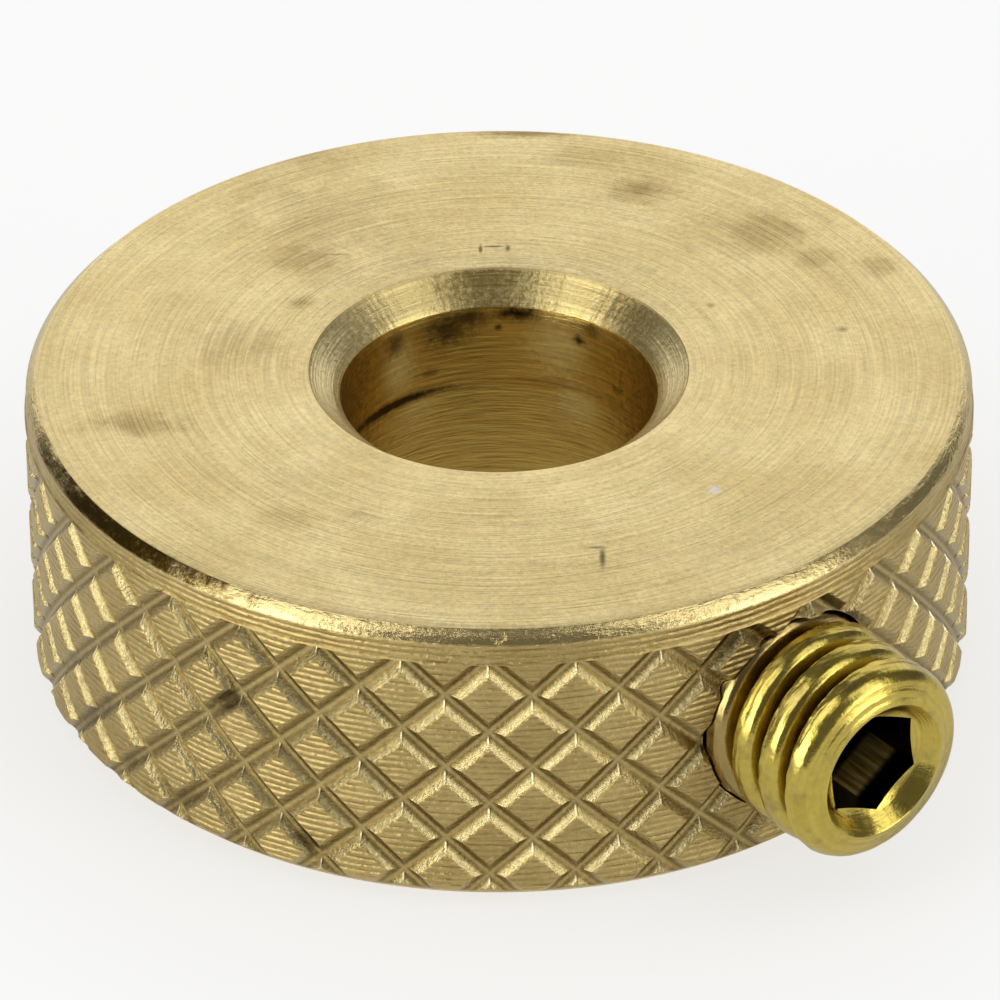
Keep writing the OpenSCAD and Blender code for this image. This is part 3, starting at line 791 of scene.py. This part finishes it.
def make_collar(tap):
    """The ring, turned from its outline with the knurl rolled into its rim, and its hole cut by the tap."""
    rim_step = ROW_STEP / STEPS
    band_r = COLLAR_R - 0.04
    face_r = band_r - TOP_CHAMFER
    foot_r = COLLAR_R - BOTTOM_CHAMFER - 0.02
    bore_top = COLLAR_H - COUNTERSINK_DEPTH
    edge = 0.03
    outline = stretch((BORE_R + edge, 0.0), (foot_r, 0.0), 3)
    outline += stretch((foot_r, 0.0), (COLLAR_R - 0.012, BOTTOM_CHAMFER - 0.012), 7)
    rim = []
    z = KNURL_TOP - rim_step
    while z > BOTTOM_CHAMFER + 0.02:
        rim.append((COLLAR_R, z))
        z -= rim_step
    outline += rim[::-1]
    # The knurl's end and the plain band, which is turned a little smaller
    outline += [(COLLAR_R, KNURL_END), (COLLAR_R, KNURL_END + 0.015), (COLLAR_R, KNURL_END + 0.03),
                (COLLAR_R - 0.006, KNURL_END + 0.06), (band_r + 0.006, KNURL_END + 0.1),
                (band_r, KNURL_END + 0.14), (band_r, 5.98)]
    # Chamfer, top face, countersink and bore, with softened edges
    outline += [(band_r, CHAMFER_START - 0.01), (band_r - 0.01, CHAMFER_START + 0.01),
                (face_r + 0.012, COLLAR_H - 0.008), (face_r - 0.02, COLLAR_H)]
    outline += stretch((face_r - 0.3, COLLAR_H), (COUNTERSINK_R + 0.3, COLLAR_H), 4)
    outline += [(COUNTERSINK_R + 0.03, COLLAR_H), (COUNTERSINK_R - 0.01, COLLAR_H - 0.008)]
    outline += stretch((COUNTERSINK_R - 0.03, COLLAR_H - 0.035), (BORE_R + 0.015, bore_top + 0.015), 3)
    outline += [(BORE_R + 0.015, bore_top + 0.015), (BORE_R, bore_top - 0.02)]
    outline += stretch((BORE_R, bore_top - 0.4), (BORE_R, edge), 4)
    outline += [(BORE_R, edge)]
    made = outline_object("turned_collar", [(r, 0, z) for r, z in outline])
    return grown(made, knurl_tree(), {
        "Outline Points": len(outline), "Columns": 2 * GROOVES * STEPS, "Steps": STEPS,
        "Knurl Turn": KNURL_TURN, "Knurl Top": KNURL_TOP * MM, "Knurl End": KNURL_END * MM,
        "Row Step": ROW_STEP * MM, "Land Radius": COLLAR_R * MM, "Groove Share": GROOVE_SHARE,
        "Groove Depth": GROOVE_DEPTH * MM, "Run-out": 0.03 * MM, "Tap": tap,
        "Hole Radius": (HOLE_R + 0.01) * MM, "Hole Height": SCREW_Z * MM,
        "Bore Radius": (BORE_R + 0.01) * MM, "Countersink Radius": COUNTERSINK_R * MM,
        "Bore Top": bore_top * MM, "Top Height": (COLLAR_H - 0.002) * MM, "Face Radius": (face_r + 0.01) * MM,
        "Rim Finish": KNURLED, "Face Finish": FACED, "Countersink Finish": COUNTERSUNK,
        "Bore Finish": BORED, "Hole Finish": TAPPED})


def make_set_screw():
    """The cup point set screw, wound from its outline."""
    outline = [(0.0, 0, CUP_DEPTH), (CUP_R * 0.5, 0, 0.24), (CUP_R - 0.05, 0, 0.02), (CUP_R, 0, 0.0),
               (CUP_R + 0.05, 0, 0.02)]
    level, row_step, shoulder = 0.06, 0.03, 5.7
    while level < FACE_EDGE - 0.01:
        past_shoulder = max(0.0, level - shoulder) / (FACE_EDGE - shoulder)
        rounded = FACE_R + (SCREW_R - FACE_R) * math.sqrt(max(0.0, 1 - past_shoulder ** 2.2))
        outline.append((min(SCREW_R, CUP_R + level, rounded), 0, level))
        level += row_step
    outline += [(FACE_R + 0.012, 0, FACE_EDGE - 0.01), (FACE_R - 0.02, 0, FACE_EDGE + 0.014),
                (1.64, 0, FACE_EDGE + 0.05), (1.6, 0, FACE_EDGE + 0.05), (1.56, 0, FACE_EDGE + 0.075),
                (MOUTH_R + 0.04, 0, FACE_LEVEL - 0.012), (MOUTH_R, 0, FACE_LEVEL),
                (MOUTH_R - 0.03, 0, FACE_LEVEL - 0.022)]
    outline += [(r, 0, FACE_LEVEL - (MOUTH_R - r) * MOUTH_SLOPE) for r in (1.36, 1.28, 1.2, 1.155)]
    socket_r = SOCKET_AF / 2
    floor = SCREW_LENGTH - SOCKET_DEPTH
    outline += [(socket_r, 1, level)
                for level in (FACE_LEVEL, 5.7, 5.6, 5.4, 5.1, 4.8, 4.4, floor + 0.02, floor)]
    outline += [(socket_r * 0.8, 1, floor - 0.01), (socket_r * 0.4, 1, floor - 0.1), (0.0, 1, floor - 0.2)]
    burr = 0.018
    profile = [(0.0, 0.0), (0.09, 0.02), (0.34, 0.97), (0.354, 1.0), (0.47, 0.985), (0.62, 0.95), (0.76, 0.87),
               (0.86, 0.72), (0.94, 0.38), (0.98, 0.1), (1.0, 0.0)]
    return threaded("socket_set_screw", thread_tree("screw_thread", profile), outline, SCREW_COLUMNS, SCREW_R,
                    burr, LAST_THREAD, FACE_EDGE)


tap = make_tap()
collar = make_collar(tap)
bpy.data.objects.remove(tap)
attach(collar, "collar")
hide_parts("collar")

set_screw = make_set_screw()
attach(set_screw, "screw")
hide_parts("set_screw")


# ---------------------------------------------------------------- room, light and camera

def stage_floor():
    """A pale floor that keeps the object's shadow."""
    mesh = bpy.data.meshes.new("floor")
    half = 3.0
    mesh.from_pydata([(-half, -half, 0), (half, -half, 0), (half, half, 0), (-half, half, 0)], [], [(0, 1, 2, 3)])
    made = bpy.data.objects.new("floor", mesh)
    bpy.context.collection.objects.link(made)
    paper, tree = new_material("floor_paper")
    matt = add(tree, "BsdfDiffuse", {"Color": colour("#EFEFEE")})
    # Paper close to the object sees less of the room; there its glow is painted dimmer, as a painted contact
    # shadow, and warmer, as painted light bounced from the brass
    open_to_room = add(tree, "AmbientOcclusion", {"Distance": 7 * MM}, out="AO", samples=8)
    strength = add(tree, "MapRange", (open_to_room, 0.45, 1.0, 0.9, 1.0))
    painted_warm_bounce = layered(tree, "#FFFCF5", (open_to_room, "#FFFFFF"))
    glow = add(tree, "Emission", {"Color": painted_warm_bounce, "Strength": strength})
    # The camera sees mostly the glow, polished metal sees a part of it, and it lights nothing matt
    seen = add(tree, "LightPath", out="Is Camera Ray")
    mirrored = add(tree, "LightPath", out="Is Glossy Ray")
    through = add(tree, "LightPath", out="Is Transmission Ray")
    share = add(tree, "Math", (seen, 0.86), "MULTIPLY")
    mirrored = add(tree, "Math", (mirrored, through), "MAXIMUM")
    mirrored = add(tree, "Math", (mirrored, 0.28), "MULTIPLY")
    share = add(tree, "Math", (share, mirrored), "ADD")
    both = add(tree, "MixShader", {"Fac": share, 1: matt, 2: glow})
    add(tree, "OutputMaterial", {"Surface": both})
    mesh.materials.append(paper)


def soft_box(name, across, ahead, up, size, radiance):
    """A lamp that faces the object, placed in metres as the camera sees it: across to the right, ahead, and up."""
    place = Vector((math.cos(VIEW_TURN) * across + math.sin(VIEW_TURN) * ahead,
                    math.cos(VIEW_TURN) * ahead - math.sin(VIEW_TURN) * across, up))
    aim = Vector((0, 0, 3 * MM))
    lamp = bpy.data.lights.new(name, "AREA")
    lamp.shape = "RECTANGLE"
    lamp.size, lamp.size_y = size
    lamp.energy = radiance * math.pi * size[0] * size[1]
    made = bpy.data.objects.new(name, lamp)
    made.location = place
    made.rotation_euler = (aim - place).to_track_quat("-Z", "Y").to_euler()
    bpy.context.collection.objects.link(made)


def room():
    """A grey room, white where the camera sees it."""
    world = bpy.data.worlds.new("room")
    bpy.context.scene.world = world
    world.use_nodes = True
    tree = world.node_tree
    tree.nodes.clear()
    seen = add(tree, "LightPath", out="Is Camera Ray")
    walls = add(tree, "Background", {"Color": colour("#FFFDF8"), "Strength": 0.15})
    white = add(tree, "Background", {"Color": colour("#F7F7F7"), "Strength": 1.0})
    both = add(tree, "MixShader", {"Fac": seen, 1: walls, 2: white})
    add(tree, "OutputWorld", {"Surface": both})


def make_camera():
    """Looks down at the collar with the screw at its lower right."""
    dip = math.radians(34.008)
    roll = math.radians(-0.3639)
    target = Vector((0, 0, 1.42875 * MM))
    distance = 160.0 * MM
    ahead = Vector((math.sin(VIEW_TURN) * math.cos(dip), math.cos(VIEW_TURN) * math.cos(dip), -math.sin(dip)))
    right = Vector((math.cos(VIEW_TURN), -math.sin(VIEW_TURN), 0))
    up = right.cross(ahead)
    right, up = (right * math.cos(roll) + up * math.sin(roll), up * math.cos(roll) - right * math.sin(roll))
    lens = bpy.data.cameras.new("camera")
    lens.sensor_width = 36.0
    lens.lens = 282.469
    lens.shift_x = -0.0001
    lens.shift_y = 0.071
    lens.clip_start = 0.01
    made = bpy.data.objects.new("camera", lens)
    place = Matrix.Identity(4)
    for i, axis in enumerate((right, up, -ahead)):
        place.col[i][:3] = axis
    place.col[3][:3] = target - ahead * distance
    made.matrix_world = place
    bpy.context.collection.objects.link(made)
    bpy.context.scene.camera = made


stage_floor()
room()
soft_box("left_box", -0.24, -0.107, 0.336, (0.2, 0.34), 2.05)
soft_box("right_box", 0.249, -0.086, 0.336, (0.2, 0.34), 1.7)
soft_box("front_left_box", -0.344, -0.258, 0.14, (0.24, 0.24), 4.4)
soft_box("front_right_box", 0.37, -0.22, 0.14, (0.22, 0.24), 3.7)
soft_box("backdrop", 0.0, 0.42, 0.2, (0.8, 0.4), 1.0)
make_camera()
bpy.context.scene.view_settings.view_transform = "Standard"
